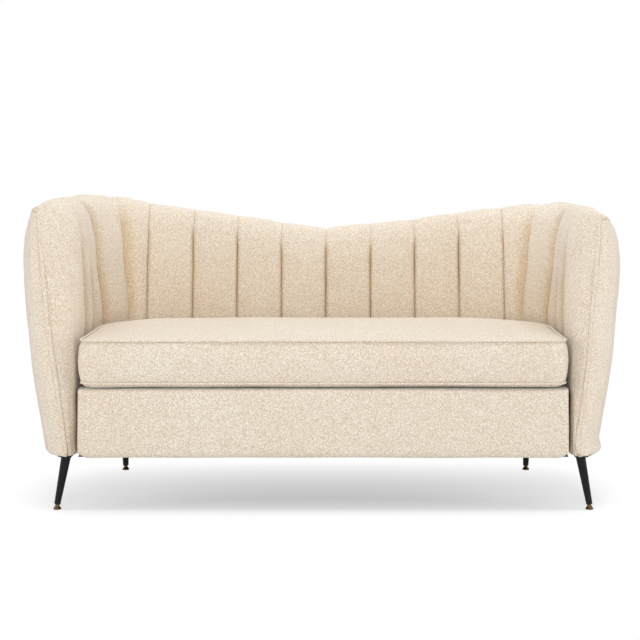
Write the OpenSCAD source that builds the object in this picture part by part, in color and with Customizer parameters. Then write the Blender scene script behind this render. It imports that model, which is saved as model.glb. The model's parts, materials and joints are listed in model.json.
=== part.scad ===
// Curved channel-back loveseat: tub-shaped arms and back, one bench cushion, four splayed metal legs.
// Origin: middle of the footprint, on the floor. +Z is up, the front faces -Y.

/* [Seat] */
// Width between the arms at seat height
seat_w = 1252; // [1100:2:1500]
// Depth of the seat cushion, front to back
seat_d = 561; // [520:1:620]
// Height of the cushion's top seam above the floor
seat_h = 435; // [420:1:460]
// Thickness of the cushion between its flat base and its top seam
cushion_t = 123; // [100:1:140]
// Rise of the cushion's crown above its top seam
cushion_crown = 13; // [6:1:25]
// Radius of the cushion's front corners
cushion_front_r = 34; // [20:1:50]
// Width of the gap between the cushion and the channels
cushion_gap = 4; // [2:0.5:8]

/* [Shell] */
// Height of the underside above the floor
underside_h = 137; // [110:1:160]
// Height of the arms' crest
arm_crest_h = 787; // [740:1:840]
// Height of the crest where the back meets the arms
corner_crest_h = 758; // [720:1:790]
// Height of the crest at the middle of the back
mid_crest_h = 690; // [650:1:730]
// Thickness of an arm at its fullest
arm_t = 164; // [150:1:200]
// Thickness of an arm at its underside
arm_foot_t = 103; // [98:1:130]
// Thickness of an arm at the outside welt
arm_welt_t = 119; // [112:1:130]
// Thickness of the back at its fullest
back_t = 185; // [170:1:220]
// Thickness of the back at its underside
back_foot_t = 140; // [134:1:165]
// Thickness of the back at the outside welt
back_welt_t = 136; // [132:1:150]
// Radius of the inner corner at seat height
seat_corner_r = 225; // [190:1:240]
// Radius of the inner corner at the crest
crest_corner_r = 250; // [220:1:265]
// Radius of the outer corner
outer_corner_r = 280; // [250:1:300]
// Distance from the front of the cushion back to the front of the arms
arm_setback = 30; // [20:1:50]

/* [Channels] */
// Distance from the end of the back's straight run of channels to the side of the seat
corner_inset = 116; // [100:1:150]
// Depth of the seams between the back channels
seam_depth = 9; // [4:0.5:12]
// Depth of the seams between the arm channels
arm_seam_depth = 14; // [8:0.5:18]
// Thickness of a channel on the inner face
pad_t = 48; // [42:1:52]
// Thickness of a channel on top of the crest
pad_top_t = 30; // [24:1:36]
// Distance that the crest rolls outwards over an arm
arm_roll = 54; // [45:1:60]
// Distance that the crest rolls backwards over the back
back_roll = 50; // [40:1:55]
// Distance that the back leans between the seat and the crest
back_lean = 40; // [20:1:50]
// Drop from the crest to the outside welt
welt_drop = 22; // [16:1:30]
// Radius of the welt cord
welt_r = 4.5; // [3:0.5:6]

/* [Legs] */
// Diameter of a leg at its top
leg_top_d = 27; // [24:1:34]
// Diameter of a leg at its lower end
leg_foot_d = 16; // [14:1:20]
// Wall of the leg tube
leg_wall = 1.5; // [1:0.25:2.5]
// Splay of a leg from the vertical, in degrees
leg_splay = 10.5; // [4:0.5:14]
// Distance that the front feet stand outside the seat's width
front_foot_out = 50; // [44:1:56]
// Distance that the rear feet stand inside the seat's width
rear_foot_in = 53; // [46:1:66]
// Distance from the front of the cushion to the front feet
front_feet_inset = 55; // [50:1:60]
// Distance from the front feet to the rear feet
feet_run = 520; // [480:2:540]
// Diameter of a glide foot
glide_d = 20; // [18:1:24]
// Height of a glide foot
glide_h = 12; // [10:1:15]
// Diameter of a glide's threaded stem
stem_d = 6; // [5:0.5:8]
// Length of a glide's stem
stem_l = 26; // [22:1:34]
// Radial clearance of the stem in its leg
thread_clearance = 0.08; // [0.02:0.01:0.1]

/* [Frame] */
// Thickness of the wooden rails and posts
rail_t = 22; // [18:1:24]
// Thickness of the felt deck under the cushion
deck_t = 9; // [5:1:14]
// Thickness of the outside covers, board and padding
cover_t = 12; // [8:1:14]
// Thickness of the apron panel
apron_t = 18; // [14:1:20]
// Thickness of the burlap lining
lining_t = 1.7; // [1:0.1:3]
// Thickness of the elastic straps
strap_t = 2.5; // [1.5:0.5:4]
// Width of the elastic straps
strap_w = 60; // [40:5:80]
// Thickness of the cover and fibre wrap round the foam block
wrap_t = 15; // [10:1:20]

/* [Hidden] */
half_channels = 4;
arm_channels = 5;
sides = ["left", "right"];
ends = ["front", "rear"];

// Gap between two pieces that lie against each other
rest_gap = 0.3;
// Gap for the welt's flange between the channels and the outside covers
flange_gap = 1.5;
// Overrun of every cut
cut = 1;
// Step along a path for finding its direction
probe = 1;
// Facets of the small round pieces and sides of a welt cord
round_fn = 48;
welt_sides = 5;

// Places that follow from the sizes above
front_y = -(seat_d + cushion_gap + back_t) / 2;
arm_front_y = front_y + arm_setback;
inner_w = seat_w / 2;
back_run = inner_w - corner_inset;
inner_b = front_y + seat_d + cushion_gap;
crest_w = inner_w + arm_roll;
crest_b = inner_b + back_lean + back_roll;
cushion_base_h = seat_h - cushion_t;
deck_h = cushion_base_h - rest_gap;
strap_top_h = deck_h - deck_t - rest_gap;
rail_top_h = strap_top_h - strap_t;
rail_base_h = underside_h + rest_gap;
pad_base_h = strap_top_h + rest_gap;
// Where the wooden frame starts behind the lining, over the arms and behind the back
frame_b = inner_b + pad_t + lining_t + 2 * rest_gap;
frame_w = crest_w + rest_gap;
// Outer face of the side rails, clear of the channels' tails
side_rail_gap = 6;
side_rail_x = inner_w - side_rail_gap;

// Feet, side to side
front_foot_x = inner_w + front_foot_out;
rear_foot_x = inner_w - rear_foot_in;

// Where the fan of arm channels meets the seat and the crest, as shares of each run
seat_seam_shares = [0, 0.085, 0.26, 0.43, 0.6];
crest_seam_shares = [0, 0.19, 0.55, 0.8, 0.89];
// How the fan opens between the two: higher stays close to the seat's shares for longer
fan_power = 1.6;
// Height share at which the inner face starts to roll over
roll_start_share = 0.465;
front_roll_start_share = 0.9;
// Places of the rows of a channel: below 0 under the seat, 0 to 1 the face, 1 to 2 the roll, 2 to 3 the top
channel_rows = [-1, 0, 0.35, 0.7, 1, 1.25, 1.5, 1.7, 1.86, 2, 2.35, 2.7, 3];
front_rows = concat([-2, -1.55, -1.1], channel_rows);
// Places across a channel from seam to seam
across_shares = [0, 0.07, 0.26, 0.5, 0.74, 0.93, 1];
back_shares = [0, 0.5, 1];
// Fullness of a channel between its seams: higher is flatter
seam_power = 3.2;
// Share of the seams' depth that is left on top of the crest
crest_seam_share = 0.45;

// Plan of the arm's front edge: how far the nose reaches past the inner face
nose_foot = 21;
nose_top = 84;
// Length of the front curve on the inner side at the seat and at the crest, and on the outer side
nose_seat_l = 60;
nose_crest_l = 100;
nose_outer_l = 190;
// Setback of the crest's front end from the nose
crest_end_setback = 16;
crest_end_drop = 11;
// Length over which the welt turns at the arm's nose
welt_turn = 10;
// Share of the outer side's height at which an arm and the back are fullest
full_share = 0.19;
// Shares of an arm's crest: where it has risen to its full height, and where its front end starts to drop
crest_rise_share = 0.36;
crest_end_share = 0.85;
// Powers of the curves: the nose in front view, the crest over the back, and the tuck of the outer side
nose_power = 1.4;
crest_power = 1.05;
tuck_power = 1.6;
// Lengths of the low front panel and of the cover's edge at the welt, as shares of what they turn round
panel_share = 1.5;
edge_share = 1.2;

function lerp(a, b, t) = a + (b - a) * t;
function unit2(v) = v / norm(v);
function between(list, u) =
    let (i = min(floor(u), len(list) - 2)) lerp(list[i], list[i + 1], u - i);

// Length of a quarter of an ellipse
function quarter_l(a, b) = PI / 2 * sqrt((a * a + b * b) / 2);

// Plan of half a tub: s runs from the middle of the back, round the corner, along the arm and round its nose
function tub_arc_end(w, r) = w - r + r * PI / 2;
function nose_start_s(w, b, r, nose_y, nose_l) = tub_arc_end(w, r) + b - r - (nose_y + nose_l);
function tub_end_s(w, b, r, nose_y, nose_l, nose_x) =
    nose_start_s(w, b, r, nose_y, nose_l) + quarter_l(nose_l, abs(nose_x - w));
function tub(w, b, r, nose_y, nose_l, nose_x, s) =
    let (
        turn = (s - (w - r)) / r * 180 / PI,
        s_nose = nose_start_s(w, b, r, nose_y, nose_l),
        swing = 90 * (s - s_nose) / quarter_l(nose_l, abs(nose_x - w))
    )
    s <= w - r ? [s, b] :
    s <= tub_arc_end(w, r) ? [w - r + r * sin(turn), b - r + r * cos(turn)] :
    s <= s_nose ? [w, b - r - (s - tub_arc_end(w, r))] :
    [lerp(w, nose_x, 1 - cos(swing)), nose_y + nose_l - nose_l * sin(swing)];

// Front edge of the arm in plan at a height
function nose_x(z) =
    let (e = max(0, min(1, (z - underside_h) / (arm_crest_h - underside_h))))
    inner_w + lerp(nose_foot, nose_top, 1 - pow(1 - e, nose_power));

// Inner face at height share h, and the crest line
function face_args(h) = [inner_w, inner_b + back_lean * h, lerp(seat_corner_r, crest_corner_r, h),
    arm_front_y, lerp(nose_seat_l, nose_crest_l, h)];
function face_end_s(h, z) = let (f = face_args(h)) tub_end_s(f[0], f[1], f[2], f[3], f[4], nose_x(z));
function face_point(h, z, s) = let (f = face_args(h)) tub(f[0], f[1], f[2], f[3], f[4], nose_x(z), s);
crest_nose_y = arm_front_y + crest_end_setback;
crest_nose_l = nose_seat_l;
crest_end_s = tub_end_s(crest_w, crest_b, crest_corner_r, crest_nose_y, crest_nose_l, nose_x(arm_crest_h));
function crest_point(s) =
    tub(crest_w, crest_b, crest_corner_r, crest_nose_y, crest_nose_l, nose_x(arm_crest_h), s);

// Distance along the face and the crest to seam u: 0 is the middle of the back, 4 its corner, 9 the arm's nose
function back_s(u) = back_run * u / half_channels;
half_seam = rest_gap * half_channels / back_run;
function seam_share(shares, u) = between(concat(shares, [1]), u - half_channels);
function face_s(u, h, z) =
    u <= half_channels ? back_s(u) :
    let (
        end_s = face_end_s(h, z) - rest_gap,
        low = seam_share(seat_seam_shares, u),
        high = seam_share(crest_seam_shares, u)
    )
    lerp(back_run, end_s, lerp(low, high, pow(h, fan_power)));
function crest_s(u) =
    u <= half_channels ? back_s(u) : lerp(back_run, crest_end_s, seam_share(crest_seam_shares, u));

// Crest height along the back and along the arm, where p is the share of the arm's crest
function back_crest_z(x) = lerp(mid_crest_h, corner_crest_h, pow(abs(x) / back_run, crest_power));
function arm_crest_z(p) =
    lerp(corner_crest_h, arm_crest_h, sin(90 * min(1, p / crest_rise_share)))
    - crest_end_drop * pow(crest_end(p), 2);
function crest_end(p) = max(0, (p - crest_end_share) / (1 - crest_end_share));
function arm_share(u) = (crest_s(u) - back_run) / (crest_end_s - back_run);
function crest_z(u) = u <= half_channels ? back_crest_z(back_s(u)) : arm_crest_z(arm_share(u));
function welt_z_at(p) = arm_crest_z(p) - lerp(welt_drop, crest_end_drop, crest_end(p));
function welt_z(u) = u <= half_channels ? crest_z(u) - welt_drop : welt_z_at(arm_share(u));

// Outer side: how far it stands outside the inner face, g = 0 at the welt and 1 at the underside
function side_swell(g, welt, full, foot) =
    g < full_share ? lerp(welt, full, sqrt(max(0, 1 - pow(1 - g / full_share, 2)))) :
    lerp(full, foot, pow((g - full_share) / (1 - full_share), tuck_power));
function outer_args(g, t) = [
    inner_w + side_swell(g, arm_welt_t, arm_t, arm_foot_t) - t,
    inner_b + side_swell(g, back_welt_t, back_t, back_foot_t) - t,
    outer_corner_r - t, arm_front_y + t, nose_outer_l - t];
function outer_end_s(g, z, t) =
    let (f = outer_args(g, t)) tub_end_s(f[0], f[1], f[2], f[3], f[4], nose_x(z));
function outer_point(g, z, t, p) =
    let (f = outer_args(g, t), s = lerp(back_run, outer_end_s(g, z, t), p))
    tub(f[0], f[1], f[2], f[3], f[4], nose_x(z), s);
function outer_at(g, z, t, s) = let (f = outer_args(g, t)) tub(f[0], f[1], f[2], f[3], f[4], nose_x(z), s);
function outer_back_y(g, t) = outer_args(g, t)[1];

// Welt line above seam u
function welt_point(u) =
    u <= half_channels ? [back_s(u), outer_back_y(0, 0)] :
    let (full_l = outer_end_s(0, welt_z(u), 0) - back_run)
    outer_point(0, welt_z(u), 0, arm_share(u) * (1 - welt_turn / full_l));

// Direction into the wall at a place on the face, and its match at the welt
function into_wall(h, z, s) =
    let (t = unit2(face_point(h, z, s + probe) - face_point(h, z, s - probe))) [-t[1], t[0]];
function front_share(u) = max(0, u - (half_channels + arm_channels - 1));
function welt_inward(u) =
    let (s = crest_s(u), t = unit2(crest_point(s + probe) - crest_point(s - probe)), turn = 90 * front_share(u))
    front_share(u) > 0 ? [-cos(turn), sin(turn)] : [t[1], -t[0]];

// A point of a channel's visible side at seam place u and row v, recessed by d towards the frame
function roll_share(u) = lerp(roll_start_share, front_roll_start_share, front_share(u));
function row_h(u, v) = max(0, min(1, v)) * roll_share(u);
function row_z(u, v) =
    v < -1 ? lerp(pad_base_h, underside_h + rest_gap, -v - 1) :
    v < 0 ? lerp(seat_h, pad_base_h, -v) :
    lerp(seat_h, crest_z(u), row_h(u, v));
function low_s(u, z) = lerp(face_end_s(0, z) - nose_seat_l * panel_share, face_end_s(0, z) - rest_gap, front_share(u));
function row_s(u, v) =
    let (z = row_z(u, v), h = row_h(u, v))
    v < -1 ? low_s(u, z) : face_s(u, h, z);
function row_plan(u, v) = face_point(row_h(u, v), row_z(u, v), row_s(u, v));
function row_in(u, v) = into_wall(row_h(u, v), row_z(u, v), row_s(u, v));
function pad_depth(u, v) = v < -1 ? cover_t : lerp(pad_t, cover_t, front_share(u));
function xyz(p, z) = [p[0], p[1], z];

function seen_point(u, v, d) =
    let (
        base = row_plan(u, min(v, 1)),
        inward = row_in(u, min(v, 1)),
        crest = crest_point(crest_s(u)),
        alpha = 90 * max(0, min(1, v - 1)),
        beta = 90 * max(0, v - 2),
        z0 = row_z(u, 1)
    )
    v <= 1 ? xyz(base + inward * d, row_z(u, v)) :
    v <= 2 ? xyz(lerp(base, crest, 1 - cos(alpha)) + inward * d * cos(alpha),
        lerp(z0, crest_z(u), sin(alpha)) - d * sin(alpha)) :
    xyz(lerp(crest, welt_point(u), sin(beta)) + welt_inward(u) * d * sin(beta),
        lerp(crest_z(u), welt_z(u) + flange_gap, 1 - cos(beta)) - d * cos(beta));

function hidden_point(u, v, extra) =
    let (
        f = front_share(u),
        depth = pad_depth(u, v) + extra,
        base = row_plan(u, min(v, 1)) + row_in(u, min(v, 1)) * depth,
        crest = crest_point(crest_s(u)) + row_in(u, 1) * cover_t * f,
        crest_low = crest_z(u) - lerp(pad_top_t, 0, f) - extra,
        edge = welt_point(u) + welt_inward(u) * cover_t * edge_share,
        alpha = 90 * max(0, min(1, v - 1)),
        beta = 90 * max(0, v - 2)
    )
    v <= 1 ? xyz(base, row_z(u, v)) :
    v <= 2 ? xyz(lerp(base, crest, 1 - cos(alpha)), lerp(row_z(u, 1), crest_low, sin(alpha))) :
    xyz(lerp(crest, edge, sin(beta)), lerp(crest_low, welt_z(u) + flange_gap, 1 - cos(beta)));

// Depth of the seams at place u and row v: deeper along the arm, fading out towards the top of the crest
function seam_d(u, v) =
    lerp(seam_depth, arm_seam_depth, max(0, min(1, u - half_channels, half_channels + arm_channels - u)))
    * lerp(1, crest_seam_share, max(0, min(1, v - 1)));

// A channel between seam u0 and the next: a rounded face in front and a plain one behind
module channel(u0, rows) {
    n = len(across_shares);
    m = len(back_shares);
    mid = (n - 1) / 2;
    last = len(rows) - 1;
    seen = [for (v = rows) for (c = across_shares)
        let (u = u0 + lerp(half_seam, 1 - half_seam, c))
        seen_point(u, v, seam_d(u, v) * pow(abs(2 * c - 1), seam_power))];
    hidden = [for (v = rows) for (c = back_shares) hidden_point(u0 + lerp(half_seam, 1 - half_seam, c), v, 0)];
    base = len(seen);
    faces = concat(
        [for (r = [0 : last - 1]) for (c = [0 : n - 2]) each [
            [r * n + c, (r + 1) * n + c, (r + 1) * n + c + 1],
            [r * n + c, (r + 1) * n + c + 1, r * n + c + 1]]],
        [for (r = [0 : last - 1]) for (k = [0 : m - 2]) each [
            [base + r * m + k, base + r * m + k + 1, base + (r + 1) * m + k + 1],
            [base + r * m + k, base + (r + 1) * m + k + 1, base + (r + 1) * m + k]]],
        [for (r = [0 : last - 1]) each [
            [base + r * m, base + (r + 1) * m, r * n],
            [base + (r + 1) * m, (r + 1) * n, r * n],
            [r * n + n - 1, (r + 1) * n + n - 1, base + (r + 1) * m + m - 1],
            [r * n + n - 1, base + (r + 1) * m + m - 1, base + r * m + m - 1]]],
        [for (c = [0 : n - 2]) let (k = c < mid ? 0 : 1) each [
            [c + 1, base + k, c],
            [last * n + c, base + last * m + k, last * n + c + 1]]],
        [for (k = [0 : m - 2]) let (c = (k + 1) * mid) each [
            [c, base + k + 1, base + k],
            [base + last * m + k, base + last * m + k + 1, last * n + c]]]
    );
    polyhedron(concat(seen, hidden), faces, convexity = 6);
}

// A sheet with thickness between two grids of the same size, rows upwards and columns to the right as seen
module slab(front, back) {
    n = len(front[0]);
    last = len(front) - 1;
    points = concat([for (row = front) each row], [for (row = back) each row]);
    base = (last + 1) * n;
    faces = concat(
        [for (r = [0 : last - 1]) for (c = [0 : n - 2]) each [
            [r * n + c, (r + 1) * n + c, (r + 1) * n + c + 1],
            [r * n + c, (r + 1) * n + c + 1, r * n + c + 1],
            [base + r * n + c, base + (r + 1) * n + c + 1, base + (r + 1) * n + c],
            [base + r * n + c, base + r * n + c + 1, base + (r + 1) * n + c + 1]]],
        [for (r = [0 : last - 1]) each [
            [base + r * n, base + (r + 1) * n, (r + 1) * n],
            [base + r * n, (r + 1) * n, r * n],
            [r * n + n - 1, (r + 1) * n + n - 1, base + (r + 1) * n + n - 1],
            [r * n + n - 1, base + (r + 1) * n + n - 1, base + r * n + n - 1]]],
        [for (c = [0 : n - 2]) each [
            [c + 1, base + c, c],
            [c + 1, base + c + 1, base + c],
            [last * n + c, base + last * n + c, last * n + c + 1],
            [base + last * n + c, base + last * n + c + 1, last * n + c + 1]]]
    );
    polyhedron(points, faces, convexity = 6);
}

// A closed skin over rings of equal count, capped flat at both ends
module ringed(rings) {
    n = len(rings[0]);
    last = len(rings) - 1;
    points = [for (ring = rings) each ring];
    faces = concat(
        [for (r = [0 : last - 1]) for (i = [0 : n - 1]) let (j = (i + 1) % n) each [
            [r * n + i, (r + 1) * n + i, (r + 1) * n + j],
            [r * n + i, (r + 1) * n + j, r * n + j]]],
        [[for (i = [0 : n - 1]) i]],
        [[for (i = [0 : n - 1]) last * n + n - 1 - i]]
    );
    polyhedron(points, faces, convexity = 4);
}

// Channels, outside covers, lining and welt of the shell
boucle = "#ead9bd";
wood = "#c8a878";

module back_channel(i) {
    color(boucle)
    if (i > half_channels) channel(i - half_channels - 1, channel_rows);
    else mirror([1, 0, 0]) channel(half_channels - i, channel_rows);
}

module arm_channel_right(i) {
    color(boucle) channel(half_channels + i - 1, i == arm_channels ? front_rows : channel_rows);
}

// Shares of an outside cover: down from the welt, and along the arm from the back to the nose
cover_down_shares = [1, 0.82, 0.64, 0.46, 0.32, full_share, 0.1, 0.04, 0.01, 0];
cover_along_shares = [0, 0.08, 0.17, 0.26, 0.35, 0.45, 0.56, 0.66, 0.73, 0.8, 0.87, 0.94, 1];
function cover_z(g, top) = lerp(top, underside_h + rest_gap, g);
function arm_cover_row(g, t) = [for (p = cover_along_shares)
    let (z = cover_z(g, welt_z_at(p)), l = outer_end_s(g, z, t) - back_run)
    xyz(outer_point(g, z, t, lerp(rest_gap / 2 / l, 1 - rest_gap / l, p)), z)];
function back_cover_row(g, t) = [for (i = [-half_channels : half_channels])
    let (
        z = cover_z(g, welt_z(abs(i))),
        p = outer_at(g, z, t, back_s(abs(i)) - (abs(i) == half_channels ? rest_gap / 2 : 0))
    )
    [p[0] * sign(i), p[1], z]];

module outside_arm_right() {
    color(boucle)
    slab([for (g = cover_down_shares) arm_cover_row(g, cover_t)],
        [for (g = cover_down_shares) arm_cover_row(g, 0)]);
}

module outside_back() {
    color(boucle)
    slab([for (g = cover_down_shares) back_cover_row(g, cover_t)],
        [for (g = cover_down_shares) back_cover_row(g, 0)]);
}

lining_rows = [-1, 0, 0.35, 0.7, 1, 1.25, 1.5];
module lining(us) {
    color("#b9a078")
    slab([for (v = lining_rows) [for (u = us) hidden_point(u, v, rest_gap)]],
        [for (v = lining_rows) [for (u = us) hidden_point(u, v, rest_gap + lining_t)]]);
}

module back_lining() {
    for (m = [0, 1]) mirror([m, 0, 0])
        lining([for (i = [0 : 2 * half_channels]) lining_u(i / 2, 0, half_channels)]);
}

module arm_lining_right() {
    last = half_channels + arm_channels - 1;
    lining([for (i = [2 * half_channels : 2 * last]) lining_u(i / 2, half_channels, last)]);
}

function lining_u(u, from, to) = max(from + half_seam, min(to - 4 * half_seam, u));

// A cord of round section along points, where each ring also knows the way it leans
function turned(v, a) = [v[1] * a[2] - v[2] * a[1], v[2] * a[0] - v[0] * a[2], v[0] * a[1] - v[1] * a[0]];
module cord(points, leans, r, sides_n, loop = false) {
    last = len(points) - 1;
    rings = [for (i = [0 : last])
        let (
            before = loop ? points[(i + last) % (last + 1)] : points[max(0, i - 1)],
            after = loop ? points[(i + 1) % (last + 1)] : points[min(last, i + 1)],
            t = unit2(after - before),
            e = unit2(leans[i] - t * (leans[i] * t)),
            f = turned(t, e)
        )
        [for (k = [0 : sides_n - 1])
            let (a = 180 + 360 * k / sides_n) points[i] + r * (e * cos(a) + f * sin(a))]];
    if (loop) tube_loop(rings);
    else ringed(rings);
}

module tube_loop(rings) {
    n = len(rings[0]);
    m = len(rings);
    points = [for (ring = rings) each ring];
    faces = [for (r = [0 : m - 1]) for (i = [0 : n - 1])
        let (j = (i + 1) % n, q = (r + 1) % m) each [
            [r * n + i, q * n + i, q * n + j],
            [r * n + i, q * n + j, r * n + j]]];
    polyhedron(points, faces, convexity = 8);
}

// The outside welt: up the arm's nose, over its top and along the crest to the middle of the back
welt_seat = welt_r + rest_gap * 2;
welt_nose_steps = 9;
nose_welt = [for (i = [0 : welt_nose_steps])
    let (z = lerp(underside_h + welt_r, arm_crest_h - crest_end_drop - welt_drop, i / welt_nose_steps))
    [[nose_x(z), arm_front_y - welt_seat, z], [0, -1, 0]]];
crest_welt = [for (i = [4 * (half_channels + arm_channels) : -1 : 4 * half_channels + 1])
    let (u = i / 4, p = welt_point(u), out = -welt_inward(u))
    [xyz(p + out * welt_seat, welt_z(u) + welt_seat), [out[0], out[1], 1]]];
back_welt = [for (i = [2 * half_channels : -1 : 0])
    let (u = i / 2, p = welt_point(u)) [[p[0], p[1] + welt_seat, welt_z(u) + welt_seat], [0, 1, 1]]];
half_welt = concat(nose_welt, crest_welt, back_welt);
function mirrored(v) = [-v[0], v[1], v[2]];

module outside_welt() {
    n = len(half_welt);
    left = [for (p = half_welt) [mirrored(p[0]), mirrored(p[1])]];
    right = [for (i = [n - 2 : -1 : 0]) half_welt[i]];
    all = concat(left, right);
    color(boucle) cord([for (p = all) p[0]], [for (p = all) p[1]], welt_r, welt_sides);
}

// Seat cushion: outline with rounded corners, drawn in a little between them
cushion_edge = welt_r + rest_gap;
// Height of the rounding at the cushion's seams, and the swell of its boxing
edge_h = 8;
// Height of the lower seam above the cushion's base
low_seam_h = 14;
cushion_w = seat_w - 2 * cushion_gap - 2 * cushion_edge;
cushion_front_y = front_y + edge_h;
cushion_back_y = front_y + seat_d - cushion_edge;
cushion_rear_r = seat_corner_r - 2 * cushion_gap;
// Distance that the cushion's long sides draw in between its corners
draw_in = 4;
// Steps round the front and rear corners, along the sides, along the back and along the front
front_steps = 3;
rear_steps = 6;
side_steps = 3;
back_steps = 5;
long_steps = 7;
// Smallest corner radius, as a share of the front corner's
least_corner_share = 0.25;
function arc_points(cx, cy, r, from, to, n) =
    [for (i = [0 : n]) let (a = lerp(from, to, i / n)) [cx + r * cos(a), cy + r * sin(a)]];
function side_points(a, b, n, pull) =
    [for (i = [1 : n]) let (t = i / (n + 1), d = unit2(b - a))
        lerp(a, b, t) + pull * sin(180 * t) * [-d[1], d[0]]];
function cushion_outline(inset, pull) =
    let (
        w = cushion_w / 2 - inset,
        y0 = cushion_front_y + inset,
        y1 = cushion_back_y - inset,
        rf = max(cushion_front_r - inset, cushion_front_r * least_corner_share),
        rb = max(cushion_rear_r - inset, cushion_front_r * least_corner_share),
        fr = arc_points(w - rf, y0 + rf, rf, -90, 0, front_steps),
        br = arc_points(w - rb, y1 - rb, rb, 0, 90, rear_steps),
        bl = arc_points(-w + rb, y1 - rb, rb, 90, 180, rear_steps),
        fl = arc_points(-w + rf, y0 + rf, rf, 180, 270, front_steps)
    )
    concat(fr, side_points(fr[front_steps], br[0], side_steps, pull),
        br, side_points(br[rear_steps], bl[0], back_steps, pull),
        bl, side_points(bl[rear_steps], fl[0], side_steps, pull),
        fl, side_points(fl[front_steps], fr[0], long_steps, pull));
function cushion_ring(inset, z, pull = draw_in) = [for (p = cushion_outline(inset, pull)) xyz(p, z)];

// Rings of the boxing, and of the crown as inset and height shares
crown_shares = [[0.02, 0.1], [0.09, 0.45], [0.2, 0.78], [0.33, 0.96], [0.42, 1]];
boxing_shares = [0, 0.2, 0.5, 0.8, 1];
base_edge_share = 1.4;
base_flat_share = 0.2;
box_rings = [for (t = boxing_shares)
    cushion_ring(-edge_h * sin(180 * t), lerp(cushion_base_h + low_seam_h, seat_h - edge_h / 2, t))];

module seat_cushion_cover() {
    color(boucle)
    difference() {
        ringed(concat(
            [cushion_ring(seat_d * base_flat_share, cushion_base_h),
                cushion_ring(edge_h * base_edge_share, cushion_base_h)],
            box_rings,
            [for (c = crown_shares)
                cushion_ring(seat_d * c[0], seat_h + cushion_crown * c[1], draw_in * (1 - c[1]))]
        ));
        pocket(0, cushion_base_h - cut, seat_h - wrap_t);
    }
}

module pocket(clearance, from, to) {
    translate([0, 0, from])
    linear_extrude(to - from)
    polygon(cushion_outline(wrap_t + clearance, 0));
}

// Flat panel that closes the cushion underneath, and the foam block
module seat_cushion_underside() {
    color("#d9cdb4") pocket(rest_gap, cushion_base_h, cushion_base_h + lining_t);
}

module seat_cushion_core() {
    color("#f2e6a8") pocket(rest_gap, cushion_base_h + lining_t + rest_gap, seat_h - wrap_t - rest_gap);
}

module cushion_welt(z, lean) {
    ring = cushion_outline(0, draw_in);
    n = len(ring);
    outs = [for (i = [0 : n - 1]) let (t = unit2(ring[(i + 1) % n] - ring[(i + n - 1) % n])) [t[1], -t[0]]];
    offset_l = cushion_edge * sqrt(1 / 2);
    color(boucle)
    cord([for (i = [0 : n - 1]) xyz(ring[i] + outs[i] * offset_l, z + lean * offset_l)],
        [for (o = outs) [o[0], o[1], lean]], welt_r, welt_sides, true);
}

// Apron: a padded board with rounded lower corners, fullest at the front
apron_w = seat_w - 2 * cushion_gap - 2 * welt_r;
apron_corner_r = 26;
apron_back_y = front_y + edge_h + apron_t;
// Rings of the apron from back to front: inset and depth as shares of its thickness
apron_shares = [[0.15, 0], [0, 0.15], [0, 0.6], [0.2, 0.85], [0.7, 0.97], [1.6, 1]];
apron_top_r_share = 1 / 6;
apron_steps = [2, 4, 5];
module apron() {
    top = cushion_base_h - rest_gap * 2;
    bottom = underside_h + rest_gap;
    color(boucle)
    ringed([for (k = apron_shares)
        let (i = apron_t * k[0], w = apron_w / 2 - i, y = apron_back_y - apron_t * k[1], r = apron_corner_r - i / 2)
        let (
            rt = apron_corner_r * apron_top_r_share,
            a = apron_steps[0],
            b = apron_steps[1],
            c = apron_steps[2],
            tr = arc_points(w - rt, top - i - rt, rt, 0, 90, a),
            tl = arc_points(-w + rt, top - i - rt, rt, 90, 180, a),
            bl = arc_points(-w + r, bottom + i + r, r, 180, 270, b),
            br = arc_points(w - r, bottom + i + r, r, 270, 360, b)
        )
        [for (p = concat(tr, side_points(tr[a], tl[0], c, 0), tl, bl, side_points(bl[b], br[0], c, 0), br))
            [p[0], y, p[1]]]]);
}

module deck_pad() {
    color("#d8d4cc")
    intersection() {
        translate([0, 0, deck_h - deck_t])
        linear_extrude(deck_t)
        polygon(cushion_outline(rest_gap, 0));
        translate([-inner_w, apron_back_y + rest_gap, deck_h - deck_t - cut])
        cube([seat_w, seat_d, deck_t + 2 * cut]);
    }
}

// Elastic straps from the front rail to the rear rail
strap_count = 9;
strap_pitch = seat_w / strap_count;
module seat_webbing() {
    y0 = apron_back_y + rest_gap;
    color("#3c3a38")
    for (i = [0 : strap_count - 1])
        translate([(i - (strap_count - 1) / 2) * strap_pitch - strap_w / 2, y0, rail_top_h])
        cube([strap_w, frame_b + rail_t - y0, strap_t]);
}

// Wooden seat frame; the front rail's lower corners are cut off behind the apron's rounded ones
front_rail_x = apron_w / 2 - rest_gap;
module front_rail() {
    corner = apron_corner_r;
    color(wood)
    translate([0, rail_run_y, 0])
    rotate([90, 0, 0])
    linear_extrude(rail_t)
    polygon([[-front_rail_x, rail_top_h], [front_rail_x, rail_top_h], [front_rail_x, rail_base_h + corner],
        [front_rail_x - corner, rail_base_h], [corner - front_rail_x, rail_base_h],
        [-front_rail_x, rail_base_h + corner]]);
}

side_lap = 7;
side_rail_end_y = frame_b + side_lap;
module rear_rail() {
    w = side_rail_x - rail_t;
    color(wood)
    translate([-w, frame_b, rail_base_h])
    cube([2 * w, rail_t, rail_top_h - rail_base_h]);
}

rail_run_y = apron_back_y + rest_gap + rail_t;
module side_rail_right() {
    color(wood)
    translate([side_rail_x - rail_t, rail_run_y, rail_base_h])
    cube([rail_t, side_rail_end_y - rail_run_y, rail_top_h - rail_base_h]);
}

// The centre rail stays this far under the straps, so that they can sag
centre_rail_drop = 30;
module centre_rail() {
    color(wood)
    translate([-rail_t / 2, rail_run_y, rail_base_h])
    cube([rail_t, frame_b - rail_run_y, rail_top_h - centre_rail_drop - rail_base_h]);
}

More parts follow.
